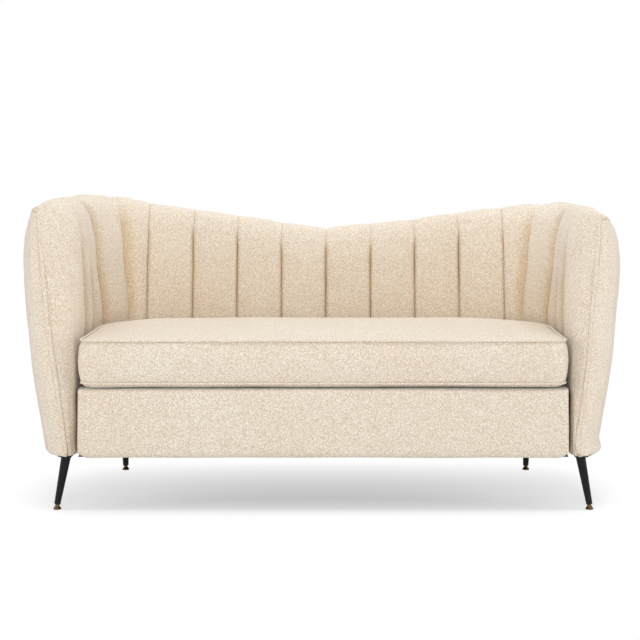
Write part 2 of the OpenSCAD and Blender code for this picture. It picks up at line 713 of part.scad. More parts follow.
// Boards at the underside, between the seat frame and the outside covers
board_t = 18;
// Height of the boards above the rails' lower edges
board_lift = 10;
board_split_x = back_run - rail_t;
board_h = rail_base_h + board_lift;
board_inset = cover_t + rest_gap * 3;
board_g = (welt_z(half_channels) - board_h) / (welt_z(half_channels) - rail_base_h);
board_edge = concat(
    [for (i = [0 : half_channels]) outer_at(board_g, board_h, board_inset, back_s(i))],
    [for (p = cover_along_shares) if (p > 0 && p < 0.5) outer_point(board_g, board_h, board_inset, p)]);
board_start_y = board_edge[len(board_edge) - 1][1];
module base_boards() {
    color(wood)
    translate([0, 0, board_h])
    linear_extrude(board_t)
    difference() {
        for (m = [0, 1]) mirror([m, 0, 0])
            polygon(concat([[0, board_start_y]], board_edge));
        translate([-side_rail_x, board_start_y - cut])
        square([2 * side_rail_x, side_rail_end_y - board_start_y + cut]);
        translate([-side_rail_x + rail_t, board_start_y - cut])
        square([2 * (side_rail_x - rail_t), frame_b + rail_t - board_start_y + cut]);
        for (m = [0, 1]) mirror([m, 0, 0])
            translate([board_split_x, frame_b]) square([rest_gap, back_foot_t]);
    }
}

// Raked posts of the back, standing on the rear rail
back_post_shares = [-0.96, -0.41, 0.41, 0.96];
// Height of the top rail at the middle of the back, where it is lowest
back_rail_h = 70;
crest_board_h = mid_crest_h - pad_top_t - 2 * rest_gap - back_rail_h;
module back_posts() {
    color(wood)
    for (k = back_post_shares) {
        x = k * back_run;
        reach = back_lean * (crest_board_h - seat_h) / (back_crest_z(x) - seat_h);
        translate([x - rail_t / 2, 0, 0])
        rotate([90, 0, 90])
        linear_extrude(rail_t)
        polygon([[frame_b, rail_top_h], [frame_b, seat_h], [frame_b + reach, crest_board_h],
            [crest_b + rest_gap + rail_t, crest_board_h], [frame_b + rail_t, rail_top_h]]);
    }
}

// Top rail of the back, sawn to the line of the crest
module back_top_rail() {
    xs = [for (i = [-2 * half_channels : 2 * half_channels]) back_s(abs(i) / 2) * sign(i)];
    color(wood)
    translate([0, crest_b + rest_gap + rail_t, 0])
    rotate([90, 0, 0])
    linear_extrude(rail_t)
    polygon(concat(
        [for (x = xs) [x, back_crest_z(x) - pad_top_t - 2 * rest_gap]],
        [[back_run, crest_board_h], [-back_run, crest_board_h]]));
}

// Frame of an arm: rails above and below, two posts and one post in the corner
arm_rail_h = 66;
arm_post_inset = 105;
arm_post_pitch = 238;
arm_front_post_y = arm_front_y + arm_post_inset;
arm_rear_post_y = arm_front_post_y + arm_post_pitch;
arm_top_h = arm_crest_h - pad_top_t - 2 * rest_gap;
module arm_rails_right() {
    color(wood) {
        translate([frame_w, arm_front_post_y, arm_top_h - arm_rail_h])
        cube([rail_t, arm_rear_post_y + rail_t - arm_front_post_y, arm_rail_h]);
        translate([frame_w, arm_front_post_y + rail_t, board_h])
        cube([rail_t, board_start_y - arm_front_post_y - rail_t, rail_t]);
    }
}

module arm_posts_right() {
    post_top = arm_top_h - arm_rail_h;
    place_x = side_rail_x + rail_t * sqrt(1 / 2) + side_rail_gap;
    place = [place_x, inner_b + place_x - inner_w];
    color(wood) {
        translate([frame_w, arm_front_post_y, block_top_h])
        cube([rail_t, rail_t, post_top - block_top_h]);
        translate([frame_w, arm_rear_post_y, board_h + rail_t])
        cube([rail_t, rail_t, post_top - board_h - rail_t]);
        translate([place[0], place[1], board_h + board_t])
        rotate([0, 0, 45])
        translate([-rail_t / 2, -rail_t / 2, 0])
        cube([rail_t, rail_t, post_top - board_h - board_t]);
    }
}

// Legs: places of the feet, the tops and the screws
plate_t = 3;
block_t = 40;
block_top_h = underside_h + block_t;
front_feet_y = front_y + front_feet_inset;
rear_feet_y = front_feet_y + feet_run;
leg_rise = (underside_h - glide_h) * tan(leg_splay);
front_top = [front_foot_x - leg_rise, front_feet_y];
rear_top = [rear_foot_x, rear_feet_y - leg_rise];
// Plates on top of the legs: half width, reach to the rear and flare to the side
plate_half = 15;
plate_reach = 56;
plate_flare = 35;
rear_plate_half = 30;
rear_plate_side = 24;
front_plate = [[-plate_half, -plate_half], [plate_half, -plate_half],
    [plate_half + plate_flare, plate_reach], [-plate_half, plate_reach]];
rear_plate = [[-rear_plate_half, -rear_plate_half], [rear_plate_side, -rear_plate_half],
    [rear_plate_side, rear_plate_half], [-rear_plate_half, rear_plate_half]];
front_screw_shares = [[-0.12, 0.43], [0.4, 0.46], [-0.12, 0.86], [0.68, 0.86]];
rear_screw_shares = [[-0.73, -0.67], [0.57, -0.67], [-0.73, 0.67], [0.57, 0.67]];
front_screws = [for (k = front_screw_shares) [k[0] * (plate_half + plate_flare), k[1] * plate_reach]];
rear_screws = [for (k = rear_screw_shares) k * rear_plate_half];
screw_r = 2;
screw_head_r = 4;
screw_head_h = 2;
screw_l = 26;

module leg_frame(end) {
    if (end == "front")
        translate([front_foot_x, front_feet_y, glide_h]) rotate([0, -leg_splay, 0]) children();
    else
        translate([rear_foot_x, rear_feet_y, glide_h]) rotate([leg_splay, 0, 0]) children();
}

// Gap between the leg and the glide foot's top
leg_gap = 1.5;
leg_l = (underside_h - glide_h + leg_top_d) / cos(leg_splay);
plug_l = stem_l + leg_gap;
module leg(end) {
    top = end == "front" ? front_top : rear_top;
    plate = end == "front" ? front_plate : rear_plate;
    screws = end == "front" ? front_screws : rear_screws;
    bore_r = stem_d / 2 + thread_clearance;
    color("#1c1c1e")
    union() {
        difference() {
            leg_frame(end)
            difference() {
                translate([0, 0, leg_gap])
                cylinder(h = leg_l, r1 = leg_foot_d / 2, r2 = leg_top_d / 2, $fn = round_fn);
                translate([0, 0, plug_l + leg_gap])
                cylinder(h = leg_l, r1 = leg_foot_d / 2 - leg_wall, r2 = leg_top_d / 2 - leg_wall, $fn = round_fn);
                translate([0, 0, leg_gap - cut])
                cylinder(h = plug_l + 2 * cut, r = bore_r, $fn = round_fn);
            }
            translate([0, -inner_w, underside_h - plate_t / 2])
            cube([seat_w, seat_w, leg_l]);
        }
        translate([top[0], top[1], underside_h - plate_t])
        linear_extrude(plate_t)
        difference() {
            polygon(plate);
            for (p = screws) translate(p) circle(r = screw_r + rest_gap, $fn = round_fn);
        }
    }
}

module leg_screws() {
    color("#8a8a8c")
    for (m = [0, 1]) mirror([m, 0, 0])
        for (set = [[front_top, front_screws], [rear_top, rear_screws]]) for (p = set[1])
            translate([set[0][0] + p[0], set[0][1] + p[1], underside_h - plate_t - screw_head_h]) {
                cylinder(h = screw_head_h, r = screw_head_r, $fn = round_fn);
                cylinder(h = screw_l, r = screw_r, $fn = round_fn);
            }
}

// Blocks that the legs screw into
pilot_gap = 0.05;
// The front block: its narrow tip, its slanted outer side and where it widens behind the arm's nose
block_tip_w = 7;
block_slant = 5;
block_gap = 4;
block_taper_share = 0.75;
module corner_blocks() {
    tip_x = inner_w + nose_foot;
    panel_x = inner_w + cover_t + block_gap;
    taper_y = arm_front_y + nose_seat_l * block_taper_share;
    back_y = arm_front_post_y + rail_t;
    mid_y = arm_front_post_y - rail_t;
    outer_x = frame_w + rail_t;
    rear = rear_top - [rear_plate_half + block_gap, rear_plate_half];
    color(wood)
    for (m = [0, 1]) mirror([m, 0, 0])
        translate([0, 0, underside_h])
        linear_extrude(block_t)
        difference() {
            union() {
                polygon([[tip_x, front_feet_y], [tip_x + block_tip_w, front_feet_y],
                    [outer_x - block_slant, mid_y], [outer_x, back_y], [side_rail_x, back_y],
                    [side_rail_x, mid_y], [panel_x, mid_y], [panel_x, taper_y]]);
                translate(rear)
                square([side_rail_x - rail_t - rear[0], frame_b - rear[1]]);
            }
            for (p = front_screws) translate(front_top + p) circle(r = screw_r + pilot_gap, $fn = round_fn);
            for (p = rear_screws) translate(rear_top + p) circle(r = screw_r + pilot_gap, $fn = round_fn);
        }
}

// Levelling glides: a swivel foot that stays flat and a stem that turns in the leg
stem_seat = 6;
// Bell profile of a foot, as shares of its radius and height
bell_shares = [[0.94, 0], [1, 0.06], [1, 0.2], [0.9, 0.36], [0.7, 0.52], [0.56, 0.7], [0.5, 1]];
module glide_foot(end) {
    r = glide_d / 2;
    at = end == "front" ? [front_foot_x, front_feet_y, 0] : [rear_foot_x, rear_feet_y, 0];
    color("#8c6a3c")
    difference() {
        translate(at)
        rotate_extrude($fn = round_fn)
        polygon(concat([[0, 0]], [for (k = bell_shares) [k[0] * r, k[1] * glide_h]], [[0, glide_h]]));
        leg_frame(end)
        translate([0, 0, -stem_seat - pilot_gap])
        cylinder(h = stem_seat + glide_h, r = stem_d / 2 + pilot_gap, $fn = round_fn);
    }
}

module glide_stem(end) {
    color("#a08050")
    leg_frame(end)
    translate([0, 0, -stem_seat])
    cylinder(h = stem_l, r = stem_d / 2, $fn = round_fn);
}

// Thin cloth under the seat frame, cut away round the rear blocks
dust_t = 1.2;
module dust_cover() {
    from_y = rail_run_y - rail_t / 2;
    notch = rear_top - (rear_plate_half + block_gap + cut) * [1, 1];
    color("#222224")
    difference() {
        translate([-side_rail_x, from_y, rail_base_h - dust_t])
        cube([2 * side_rail_x, frame_b + rail_t - from_y, dust_t]);
        for (m = [0, 1]) mirror([m, 0, 0])
            translate([notch[0], notch[1], rail_base_h - dust_t - cut])
            cube([inner_w - notch[0], frame_b + cut - notch[1], dust_t + 2 * cut]);
    }
}

module on_side(side) {
    if (side == "right") children();
    else mirror([1, 0, 0]) children();
}

for (i = [1 : 2 * half_channels])
    back_channel(i);
for (side = sides) {
    for (i = [1 : arm_channels])
        on_side(side) arm_channel_right(i);
    on_side(side) outside_arm_right();
    on_side(side) arm_lining_right();
    on_side(side) arm_posts_right();
    on_side(side) arm_rails_right();
    on_side(side) side_rail_right();
    for (end = ends) {
        on_side(side) leg(end);
        on_side(side) glide_stem(end);
        on_side(side) glide_foot(end);
    }
}
outside_back();
outside_welt();
back_lining();
back_posts();
back_top_rail();
seat_cushion_cover();
seat_cushion_underside();
seat_cushion_core();
cushion_welt(seat_h - edge_h / 2, 1);  // cushion_welt_top
cushion_welt(cushion_base_h + low_seam_h, -1);  // cushion_welt_bottom
apron();
deck_pad();
seat_webbing();
dust_cover();
front_rail();
rear_rail();
centre_rail();
base_boards();
corner_blocks();
leg_screws();
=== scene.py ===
import json
import math

import bpy
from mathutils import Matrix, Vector, kdtree, noise
from mathutils.bvhtree import BVHTree


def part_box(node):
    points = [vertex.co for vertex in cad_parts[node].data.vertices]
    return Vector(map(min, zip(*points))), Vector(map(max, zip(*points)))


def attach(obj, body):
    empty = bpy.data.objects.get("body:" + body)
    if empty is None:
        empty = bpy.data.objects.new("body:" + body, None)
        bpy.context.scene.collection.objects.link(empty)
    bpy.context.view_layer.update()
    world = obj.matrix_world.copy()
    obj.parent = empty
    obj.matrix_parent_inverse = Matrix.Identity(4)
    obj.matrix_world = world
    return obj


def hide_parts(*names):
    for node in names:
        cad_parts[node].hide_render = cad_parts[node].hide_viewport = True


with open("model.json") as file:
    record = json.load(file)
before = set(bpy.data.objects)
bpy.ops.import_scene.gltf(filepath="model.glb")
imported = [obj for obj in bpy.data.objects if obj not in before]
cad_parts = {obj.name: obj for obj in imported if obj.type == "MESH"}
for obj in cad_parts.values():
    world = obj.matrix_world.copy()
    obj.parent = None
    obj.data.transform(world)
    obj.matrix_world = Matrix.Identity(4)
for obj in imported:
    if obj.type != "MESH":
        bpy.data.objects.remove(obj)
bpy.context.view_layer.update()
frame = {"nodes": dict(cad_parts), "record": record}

SIDES = ("left", "right")
BACK_CHANNELS = [f"back_channel_{number}" for number in range(1, 9)]
ARM_CHANNELS = {side: [f"arm_channel_{side}_{number}" for number in range(1, 6)] for side in SIDES}
COVERS = ["outside_arm_left", "outside_arm_right", "outside_back"]
# The channels in the order in which they are sewn, from the left arm's front to the right arm's
ROUND_THE_TUB = ARM_CHANNELS["left"][::-1] + BACK_CHANNELS + ARM_CHANNELS["right"]
BACKING = ["back_lining", "arm_lining_left", "arm_lining_right",
           "back_top_rail", "arm_rails_left", "arm_rails_right"]
FRAME_TOPS = ["back_top_rail"] + [f"arm_{part}_{side}" for part in ("rails", "posts") for side in SIDES]

# All lengths are in metres
# An arm's seams from the back's corner to the front: how far each is drawn in, and the height
# where it fades out
ARM_SEAMS = ((0.002, 0.66), (0.010, 0.69), (0.020, 0.71), (0.011, 0.54), (0.011, 0.62))
# Each channel rolls over steeply at its rear seam and rises slowly from its front one
REAR_ROLL = 0.016
FRONT_RISE = 0.055
# The nose of each arm beside the welt, and its foot beside the apron, are stuffed forwards
NOSE_FILL = 0.0075
FOOT_FILL = 0.006
ARM_BOTTOM = 0.134
WELD_GAP = 0.00002
# Mesh size of each soft piece while it is stuffed
PAD_VOXEL = 0.0055
ARM_VOXEL = 0.005
APRON_VOXEL = 0.006
DECK_VOXEL = 0.004
CUSHION_VOXEL = 0.009
# Stuffing: pressure in the cloth simulation, how long it runs, and the most that a point may move
CHANNEL_PRESSURE = 6.0
CUSHION_PRESSURE = 4.0
STUFFING_FRAMES = 20
BACK_SWELL = 0.005
ARM_SWELL = 0.009
CUSHION_SWELL = 0.009
# What makes the two sides differ, as on the sofa in the photograph
SHOULDER_SLOPE = 0.009
RIGHT_BACK_LOWER = 0.006
RIGHT_ARM_LOWER = 0.014
RIGHT_ARM_NARROWER = 0.013
RIGHT_FOOT_NARROWER = 0.012
LEFT_CREST_HIGHER = 0.004
LEFT_WELT_BOWED = 0.008
# The edges of the cloth are drawn up to the crest's welt from this far away
EDGE_REACH = 0.016
# The cushion is cut a little narrower than its place, so that it clears the arms when it is lifted
CUSHION_PLAY = 0.9965
DECK_SAG = 0.003
# Size of a loop of the boucle's yarn, the colours of its gaps and its loops, and the tan of the painted
# shade at seams and low in the tub
YARN_LOOP = 0.0031
YARN_GAP = (0.63, 0.525, 0.395)
YARN_CREAM = (0.935, 0.885, 0.81)
PAINTED_SHADE_TAN = (0.80, 0.66, 0.49)

FLOOR_GLOW = 0.35
ROOM_LIGHT = 0.42
# Name, place, what it points at, size and watts
SOFTBOXES = [
    ("overhead_box", (0, 1.2, 2.8), (0, 0.0, 0.2), (3.2, 1.2), 42),
    ("inner_box", (0.2, -0.75, 2.1), (0, 0.3, 0.4), (2.2, 0.5), 10),
    ("front_box", (-0.2, -6.0, 2.0), (0, 0.2, 0.5), (3.2, 2.0), 172),
    ("left_box", (-3.5, -0.9, 1.0), (0, 0, 0.4), (2.0, 1.4), 27),
    ("right_box", (3.6, -0.7, 0.9), (0, 0, 0.4), (2.0, 1.4), 36),
]


# Camera, at the photograph's viewing angle
def set_camera():
    data = bpy.data.cameras.new("camera")
    data.sensor_width = 36.0
    data.lens = 90.0
    data.shift_x = -0.0390625
    data.shift_y = -0.25
    camera = bpy.data.objects.new("camera", data)
    camera.location = (0.055, -4.385, 0.887)
    camera.rotation_euler = (math.radians(90), 0, 0)
    scene = bpy.context.scene
    scene.collection.objects.link(camera)
    scene.camera = camera
    scene.view_settings.view_transform = "Standard"


# Working on one piece
def only(piece):
    """Selects this piece alone and makes it active."""
    bpy.ops.object.select_all(action="DESELECT")
    piece.select_set(True)
    bpy.context.view_layer.objects.active = piece


def edit(piece):
    """Opens the piece in edit mode with all of it selected."""
    only(piece)
    bpy.ops.object.mode_set(mode="EDIT")
    bpy.ops.mesh.select_all(action="SELECT")


def apply_all(piece):
    """Applies the piece's modifiers, from the first to the last."""
    only(piece)
    for modifier in list(piece.modifiers):
        bpy.ops.object.modifier_apply(modifier=modifier.name)


def copy_of(nodes, name):
    """A new piece from the solids of one or more CAD nodes, with their loose triangles merged."""
    parts = []
    for node in nodes:
        part = bpy.data.objects.new(name, frame["nodes"][node].data.copy())
        bpy.context.scene.collection.objects.link(part)
        parts.append(part)
    bpy.ops.object.select_all(action="DESELECT")
    for part in parts:
        part.select_set(True)
    bpy.context.view_layer.objects.active = parts[0]
    if len(parts) > 1:
        bpy.ops.object.join()
    piece = bpy.context.view_layer.objects.active
    piece.name = name
    piece.data.name = name
    piece.data.materials.clear()
    edit(piece)
    bpy.ops.mesh.remove_doubles(threshold=WELD_GAP)
    bpy.ops.mesh.normals_make_consistent(inside=False)
    bpy.ops.object.mode_set(mode="OBJECT")
    return piece


def surface_of(nodes):
    """The surfaces of CAD nodes, for measuring how far a point is from them."""
    corners, faces = [], []
    for node in nodes:
        mesh = frame["nodes"][node].data
        start = len(corners)
        corners += [vertex.co.copy() for vertex in mesh.vertices]
        faces += [[start + corner for corner in face.vertices] for face in mesh.polygons]
    return BVHTree.FromPolygons(corners, faces)


def ease(share):
    """0 below 0, 1 above 1 and a soft step between them."""
    share = max(0.0, min(1.0, share))
    return share * share * (3 - 2 * share)


def remesh(piece, voxel):
    """Rebuilds the piece as one even mesh and drops any bubble that is left inside it."""
    modifier = piece.modifiers.new("voxels", "REMESH")
    modifier.mode = "VOXEL"
    modifier.voxel_size = voxel
    modifier.adaptivity = 0.0
    apply_all(piece)
    links = [[] for vertex in piece.data.vertices]
    for edge in piece.data.edges:
        first, second = edge.vertices
        links[first].append(second)
        links[second].append(first)
    shell_of = [None] * len(links)
    sizes = []
    for start in range(len(links)):
        if shell_of[start] is not None:
            continue
        shell_of[start] = len(sizes)
        waiting = [start]
        count = 0
        while waiting:
            here = waiting.pop()
            count += 1
            for there in links[here]:
                if shell_of[there] is None:
                    shell_of[there] = len(sizes)
                    waiting.append(there)
        sizes.append(count)
    if len(sizes) > 1:
        outer = sizes.index(max(sizes))
        edit(piece)
        bpy.ops.mesh.select_all(action="DESELECT")
        bpy.ops.object.mode_set(mode="OBJECT")
        for vertex in piece.data.vertices:
            vertex.select = shell_of[vertex.index] != outer
        bpy.ops.object.mode_set(mode="EDIT")
        bpy.ops.mesh.delete(type="VERT")
        bpy.ops.object.mode_set(mode="OBJECT")


def relax(piece, rounds, held=None):
    """Smooths the piece; where held is given, its points with a share of 1 stay where they are."""
    modifier = piece.modifiers.new("relax", "SMOOTH")
    modifier.factor = 0.5
    modifier.iterations = rounds
    if held:
        loose = piece.vertex_groups.new(name="loose")
        for number, share in enumerate(held):
            loose.add([number], 1 - share, "REPLACE")
        modifier.vertex_group = "loose"
    apply_all(piece)
    piece.vertex_groups.clear()


def plump(piece, sewn, pressure, most):
    """Stuffs the piece in a short cloth simulation.

    Points that are sewn down with a share of 1 stay, and none moves further than most.
    """
    start = [vertex.co.copy() for vertex in piece.data.vertices]
    pins = piece.vertex_groups.new(name="sewn")
    for number, share in enumerate(sewn):
        pins.add([number], share, "REPLACE")
    cloth = piece.modifiers.new("stuffing", "CLOTH")
    cloth.settings.vertex_group_mass = "sewn"
    cloth.settings.quality = 3
    cloth.settings.mass = 0.1
    cloth.settings.use_pressure = True
    cloth.settings.uniform_pressure_force = pressure
    cloth.settings.effector_weights.gravity = 0
    cloth.collision_settings.use_collision = False
    scene = bpy.context.scene
    for number in range(1, STUFFING_FRAMES + 1):
        scene.frame_set(number)
    apply_all(piece)
    scene.frame_set(1)
    piece.vertex_groups.clear()
    for vertex, place in zip(piece.data.vertices, start):
        move = vertex.co - place
        if move.length > 0:
            vertex.co = place + move.normalized() * most * math.tanh(move.length / most)


def unevenness(piece, height, length, seed):
    """Moves each point along its normal by slow noise, as stuffing does under cloth."""
    normals = [vertex.normal.copy() for vertex in piece.data.vertices]
    offset = Vector((seed * 1.7, seed * 0.9, seed * 2.3))
    for vertex, normal in zip(piece.data.vertices, normals):
        vertex.co += normal * height * noise.noise(vertex.co / length + offset)


def stuffed_by_hand(piece):
    """Both shoulders slope off, the right arm is lower and narrower, and the left one's welt bows out.

    The right arm is also drawn in at its foot, by its nose and along its outside. The cloth still
    lies over the frame's rails and posts.
    """
    rails = surface_of(FRAME_TOPS)
    for vertex in piece.data.vertices:
        x, y, z = vertex.co
        before = z
        z -= SHOULDER_SLOPE * ease((abs(x) - 0.67) / 0.07) * ease((z - 0.5) / 0.2)
        if x > 0:
            lower = RIGHT_BACK_LOWER * ease((x - 0.05) / 0.2)
            lower += RIGHT_ARM_LOWER * ease((x - 0.45) / 0.2)
            narrower = RIGHT_ARM_NARROWER * ease((x - 0.63) / 0.07) * ease((z - 0.16) / 0.35)
            nose = 1 - ease((y + 0.30) / 0.05)
            drawn_in = nose * ease((x - 0.626) / 0.022) + (1 - nose) * ease((x - 0.703) / 0.02)
            drawn_in *= (0.25 + 0.75 * ease((z - 0.145) / 0.02)) * (1 - ease((z - 0.16) / 0.30))
            narrower += RIGHT_FOOT_NARROWER * drawn_in * (1 - ease((y + 0.12) / 0.10))
            vertex.co = (x - narrower, y, z - lower * ease((z - 0.5) / 0.2))
        else:
            higher = LEFT_CREST_HIGHER * ease((-x - 0.05) / 0.2) * (1 - ease((-x - 0.62) / 0.06))
            bowed = LEFT_WELT_BOWED * ease((-x - 0.64) / 0.05) * (1 - ease((-x - 0.72) / 0.05))
            bowed *= ease((z - 0.2) / 0.3)
            vertex.co = (x - bowed, y, z + higher * ease((z - 0.5) / 0.2))
        rail_top = rails.ray_cast(Vector((vertex.co.x, y, 1.0)), Vector((0, 0, -1)))[0]
        if rail_top and before > rail_top.z > 0.6:
            vertex.co.z = max(vertex.co.z, rail_top.z + 0.003 + 0.15 * (before - rail_top.z))


def paint_crease_shade(piece, shares):
    """Stores how much painted shade, in tan, goes on each point: in seams, beside welts and low down in the
    tub.
    """
    layer = piece.data.attributes.new("painted_crease_shade", "FLOAT", "POINT")
    layer.data.foreach_set("value", shares)


def painted_tub_shade(place, to_cushion):
    """How much painted shade, in tan, goes low down on the tub's inside, just above the cushion and towards
    the back.
    """
    return 0.26 * (1 - ease(to_cushion / 0.22)) * ease((place.y + 0.28) / 0.25)


def hand_over(piece, body, nodes):
    """Shades the finished soft piece smooth, gives it its body and hides the nodes that it stands for."""
    only(piece)
    bpy.ops.object.shade_smooth()
    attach(piece, body)
    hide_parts(*nodes)


# Materials
class Finish:
    """A material whose nodes are wired up one after another."""

    def __init__(self, name):
        self.material = bpy.data.materials.new(name)
        self.material.use_nodes = True
        self.tree = self.material.node_tree
        self.shader = self.tree.nodes["Principled BSDF"]
        self.place = self.add("TexCoord").outputs["Object"]

    def add(self, kind, **inputs):
        node = self.tree.nodes.new("ShaderNode" + kind)
        for name, value in inputs.items():
            self.set(node.inputs[name.replace("_", " ")], value)
        return node

    def set(self, socket, value):
        if isinstance(value, bpy.types.NodeSocket):
            self.tree.links.new(value, socket)
        else:
            socket.default_value = value

    def maths(self, operation, *values):
        node = self.tree.nodes.new("ShaderNodeMath")
        node.operation = operation
        for socket, value in zip(node.inputs, values):
            self.set(socket, value)
        return node.outputs[0]

    def noise(self, size, detail, where=None):
        return self.add("TexNoise", Vector=where or self.place, Scale=1 / size, Detail=detail).outputs["Fac"]

    def spread(self, value, low, high, to_low=0.0, to_high=1.0):
        node = self.add("MapRange", Value=value)
        for number, limit in enumerate((low, high, to_low, to_high), start=1):
            node.inputs[number].default_value = limit
        return node.outputs["Result"]

    def mix(self, share, a, b):
        node = self.tree.nodes.new("ShaderNodeMix")
        node.data_type = "RGBA"
        self.set(node.inputs["Factor"], share)
        self.set(node.inputs["A"], a if isinstance(a, bpy.types.NodeSocket) else (*a, 1))
        self.set(node.inputs["B"], b if isinstance(b, bpy.types.NodeSocket) else (*b, 1))
        return node.outputs["Result"]

    def relief(self, height, strength, depth):
        bump = self.add("Bump", Height=height, Strength=strength, Distance=depth)
        self.set(self.shader.inputs["Normal"], bump.outputs["Normal"])

    def shine(self, **sockets):
        for name, value in sockets.items():
            self.shader.inputs[name.replace("_", " ")].default_value = value


def boucle():
    """Looped cream yarn: small uneven loops with darker gaps, over slow random changes of tone, with painted
    shade in tan at seams and low in the tub.
    """
    finish = Finish("cream_boucle")
    curl = finish.add("TexNoise", Vector=finish.place, Scale=1 / (YARN_LOOP * 1.6), Detail=2.0)
    shift = finish.tree.nodes.new("ShaderNodeMix")
    shift.data_type = "VECTOR"
    finish.set(shift.inputs["Factor"], 0.004)
    finish.set(shift.inputs["A"], finish.place)
    finish.set(shift.inputs["B"], curl.outputs["Color"])
    loops = finish.add("TexVoronoi", Vector=shift.outputs["Result"], Scale=1 / YARN_LOOP)
    strands = finish.noise(YARN_LOOP * 0.5, 2.0)
    clumps = finish.noise(YARN_LOOP * 2.2, 3.0)
    height = finish.maths("SUBTRACT", finish.maths("MULTIPLY", strands, 0.5), loops.outputs["Distance"])
    height = finish.maths("ADD", height, finish.maths("MULTIPLY", clumps, 0.3))
    shade = finish.spread(height, -0.25, 0.3)
    cream = finish.mix(shade, YARN_GAP, YARN_CREAM)
    slow = finish.spread(finish.noise(0.22, 2.0), 0.3, 0.7)
    slow_tone_and_painted_shade = finish.mix(slow, (0.985, 0.965, 0.935), (1.0, 1.0, 1.0))
    # Painted shade: the crease attribute mixes in a darker tan where shade falls in seams and low in the tub
    painted_crease_shade = finish.add("Attribute")
    painted_crease_shade.attribute_name = "painted_crease_shade"
    slow_tone_and_painted_shade = finish.mix(painted_crease_shade.outputs["Fac"], slow_tone_and_painted_shade, PAINTED_SHADE_TAN)
    tinted = finish.tree.nodes.new("ShaderNodeMix")
    tinted.data_type = "RGBA"
    tinted.blend_type = "MULTIPLY"
    tinted.inputs["Factor"].default_value = 1.0
    finish.set(tinted.inputs["A"], cream)
    finish.set(tinted.inputs["B"], slow_tone_and_painted_shade)
    finish.set(finish.shader.inputs["Base Color"], tinted.outputs["Result"])
    finish.relief(height, 0.8, 0.0016)
    finish.shine(Roughness=0.95, Specular_IOR_Level=0.1, Sheen_Weight=0.35, Sheen_Roughness=0.55)
    finish.shine(Sheen_Tint=(1.0, 0.98, 0.95, 1.0))
    return finish.material


def plain_cloth(name, color, thread, relief=0.3):
    """A close flat weave: threads over and under in both directions."""
    finish = Finish(name)
    weave = None
    for axis in range(3):
        wave = finish.add("TexWave", Vector=finish.place, Scale=1 / thread, Distortion=0.8, Detail=1.0)
        wave.bands_direction = "XYZ"[axis]
        thread_high = wave.outputs["Fac"]
        weave = thread_high if weave is None else finish.maths("MULTIPLY", weave, thread_high)
    slubs = finish.noise(thread * 6, 3.0)
    tone = finish.maths("ADD", finish.maths("MULTIPLY", weave, 0.5), slubs)
    dark = [0.72 * part for part in color]
    light = [min(1.0, 1.15 * part) for part in color]
    finish.set(finish.shader.inputs["Base Color"], finish.mix(finish.spread(tone, 0.3, 1.0), dark, light))
    finish.relief(tone, relief, 0.0004)
    finish.shine(Roughness=0.92, Specular_IOR_Level=0.2)
    return finish.material


def foam():
    """Open-cell cushion foam."""
    finish = Finish("foam")
    cells = finish.add("TexVoronoi", Vector=finish.place, Scale=1 / 0.0012)
    tone = finish.spread(cells.outputs["Distance"], 0.0, 0.9)
    finish.set(finish.shader.inputs["Base Color"], finish.mix(tone, (0.62, 0.52, 0.27), (0.86, 0.77, 0.47)))
    finish.relief(tone, 0.4, 0.0005)
    finish.shine(Roughness=0.9)
    return finish.material


def beech():
    """Sawn frame wood with long grain and fine pores."""
    finish = Finish("wood")
    along = finish.add("Mapping", Vector=finish.place)
    along.inputs["Scale"].default_value = (1, 1, 7)
    rings = finish.add("TexNoise", Vector=along.outputs["Vector"], Scale=16, Detail=5.0, Distortion=0.6)
    pores = finish.noise(0.0009, 2.0, along.outputs["Vector"])
    tone = finish.maths("ADD", rings.outputs["Fac"], finish.maths("MULTIPLY", pores, 0.25))
    grain = finish.mix(finish.spread(tone, 0.4, 0.85), (0.36, 0.22, 0.115), (0.60, 0.42, 0.25))
    finish.set(finish.shader.inputs["Base Color"], grain)
    finish.relief(tone, 0.2, 0.0004)
    finish.shine(Roughness=0.62)
    return finish.material


def black_metal():
    """Satin powder coat with a fine orange peel, a little lighter and duller in patches."""
    finish = Finish("black_metal")
    peel = finish.noise(0.0007, 2.0)
    dust = finish.noise(0.03, 4.0)
    worn = finish.mix(finish.spread(dust, 0.45, 0.8), (0.006, 0.006, 0.007), (0.014, 0.013, 0.013))
    finish.set(finish.shader.inputs["Base Color"], worn)
    finish.set(finish.shader.inputs["Roughness"], finish.spread(dust, 0.3, 0.8, 0.26, 0.38))
    finish.relief(peel, 0.12, 0.0002)
    finish.shine(Specular_IOR_Level=0.16)
    return finish.material


def bare_metal(name, dark, light, roughness):
    """Turned or plated metal with fine marks and darker stains."""
    finish = Finish(name)
    turned = finish.add("Mapping", Vector=finish.place)
    turned.inputs["Scale"].default_value = (1, 1, 30)
    marks = finish.noise(0.01, 3.0, turned.outputs["Vector"])
    stain = finish.noise(0.004, 3.0)
    tone = finish.maths("ADD", finish.maths("MULTIPLY", marks, 0.5), stain)
    finish.set(finish.shader.inputs["Base Color"], finish.mix(finish.spread(tone, 0.45, 1.0), dark, light))
    finish.relief(marks, 0.15, 0.0002)
    finish.shine(Roughness=roughness, Metallic=1.0)
    return finish.material


